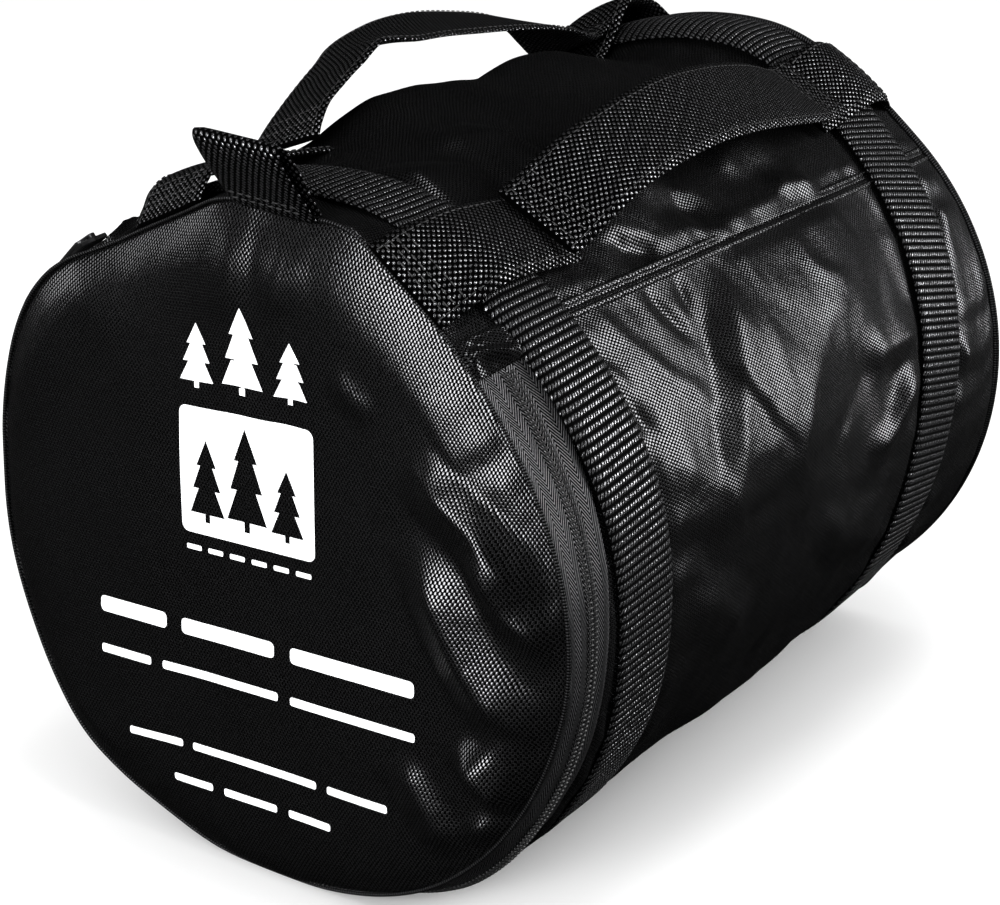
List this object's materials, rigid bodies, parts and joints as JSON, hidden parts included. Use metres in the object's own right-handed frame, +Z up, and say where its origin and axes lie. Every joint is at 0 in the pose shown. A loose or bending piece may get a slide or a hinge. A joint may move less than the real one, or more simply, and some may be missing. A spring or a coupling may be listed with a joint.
{
  "type": "bear canister in carrying case",
  "caption": "Hard plastic food drum with a coin-latched lid inside a round zip-up fabric carrying case with webbing bands and carrying handles, lying on its side.",
  "frame": {"origin": "on the surface that the case lies on, under the middle of its overall box", "axes": "+Y from the zip flap towards the closed end, along the drum; +Z up; +X to the right when looking at the flap from the front"},
  "size_m": [0.2152, 0.2939, 0.2399],
  "materials": {
    "coated_fabric": "black coated pack cloth, fine plain weave, half gloss",
    "binding": "black bias binding tape",
    "webbing": "black ribbed nylon webbing",
    "zip_tape": "black herringbone zip tape",
    "zip_coil": "black nylon coil",
    "zip_metal": "black lacquered zinc",
    "drum_plastic": "black moulded plastic, fine grain",
    "steel": "brushed stainless steel"
  },
  "bodies": {
    "case": {"top_panel": "coated_fabric", "wrap_panel": "coated_fabric", "rear_panel": "coated_fabric", "rear_seam_binding": "binding", "front_panel_top": "coated_fabric", "front_binding_top": "binding", "hinge_strip": "coated_fabric", "zipper_tape_rear": "zip_tape", "zipper_coil_rear": "zip_coil", "zip_end_cover_right": "coated_fabric", "zip_end_cover_left": "coated_fabric", "front_band": "webbing", "rear_band": "webbing", "near_strap_front": "webbing", "near_strap_rear": "webbing", "far_strap_front": "webbing", "far_strap_rear": "webbing"},
    "flap": {"front_panel": "coated_fabric", "front_seam_binding": "binding", "zipper_tape_front": "zip_tape", "zipper_coil_front": "zip_coil"},
    "zip_slider": {"zipper_slider": "zip_metal"},
    "zip_pull": {"zipper_pull": "zip_metal"},
    "near_handle": {"near_handle": "webbing"},
    "far_handle": {"far_handle": "webbing"},
    "grab_tab": {"grab_tab": "webbing"},
    "canister": {"canister_shell": "drum_plastic", "canister_lid": "drum_plastic", "latch_1_spacer": "drum_plastic", "latch_2_spacer": "drum_plastic"},
    "latch_1": {"latch_1_spindle": "steel", "latch_1_cam": "steel", "latch_1_nut": "steel"},
    "latch_2": {"latch_2_spindle": "steel", "latch_2_cam": "steel", "latch_2_nut": "steel"}
  },
  "joints": [
    {"name": "flap_hinge", "type": "hinge", "parent": "case", "child": "flap", "pos_m": [0.00684, -0.1363, 0.18339], "axis": [-0.9962, 0, 0.0872], "range_deg": [0, 115]},
    {"name": "zipper_travel", "type": "hinge", "parent": "case", "child": "zip_slider", "pos_m": [0, -0.1226, 0.1052], "axis": [0, -1, 0], "range_deg": [0, 262]},
    {"name": "zipper_pull_swing", "type": "hinge", "parent": "zip_slider", "child": "zip_pull", "pos_m": [-0.07738, -0.1226, 0.18533], "axis": [0, 1, 0], "range_deg": [0, 160]},
    {"name": "near_handle_swing", "type": "hinge", "parent": "case", "child": "near_handle", "pos_m": [0.054, -0.072, 0.19988], "axis": [-0.0491, 0.9985, 0.0253], "range_deg": [-45, 45]},
    {"name": "far_handle_swing", "type": "hinge", "parent": "case", "child": "far_handle", "pos_m": [-0.03674, -0.072, 0.20782], "axis": [-0.0511, 0.9985, -0.0208], "range_deg": [-60, 38]},
    {"name": "grab_tab_flop", "type": "hinge", "parent": "case", "child": "grab_tab", "pos_m": [0.00957, -0.135, 0.21458], "axis": [0.9962, 0, -0.0872], "range_deg": [-105, 65]},
    {"name": "canister_slide", "type": "slide", "parent": "case", "child": "canister", "axis": [0, -1, 0], "range_m": [-0.009, 0.002]},
    {"name": "latch_1_turn", "type": "hinge", "parent": "canister", "child": "latch_1", "pos_m": [0.05, -0.114, 0.1052], "axis": [0, -1, 0], "range_deg": [0, 180]},
    {"name": "latch_2_turn", "type": "hinge", "parent": "canister", "child": "latch_2", "pos_m": [-0.05, -0.114, 0.1052], "axis": [0, -1, 0], "range_deg": [0, 180]}
  ]
}
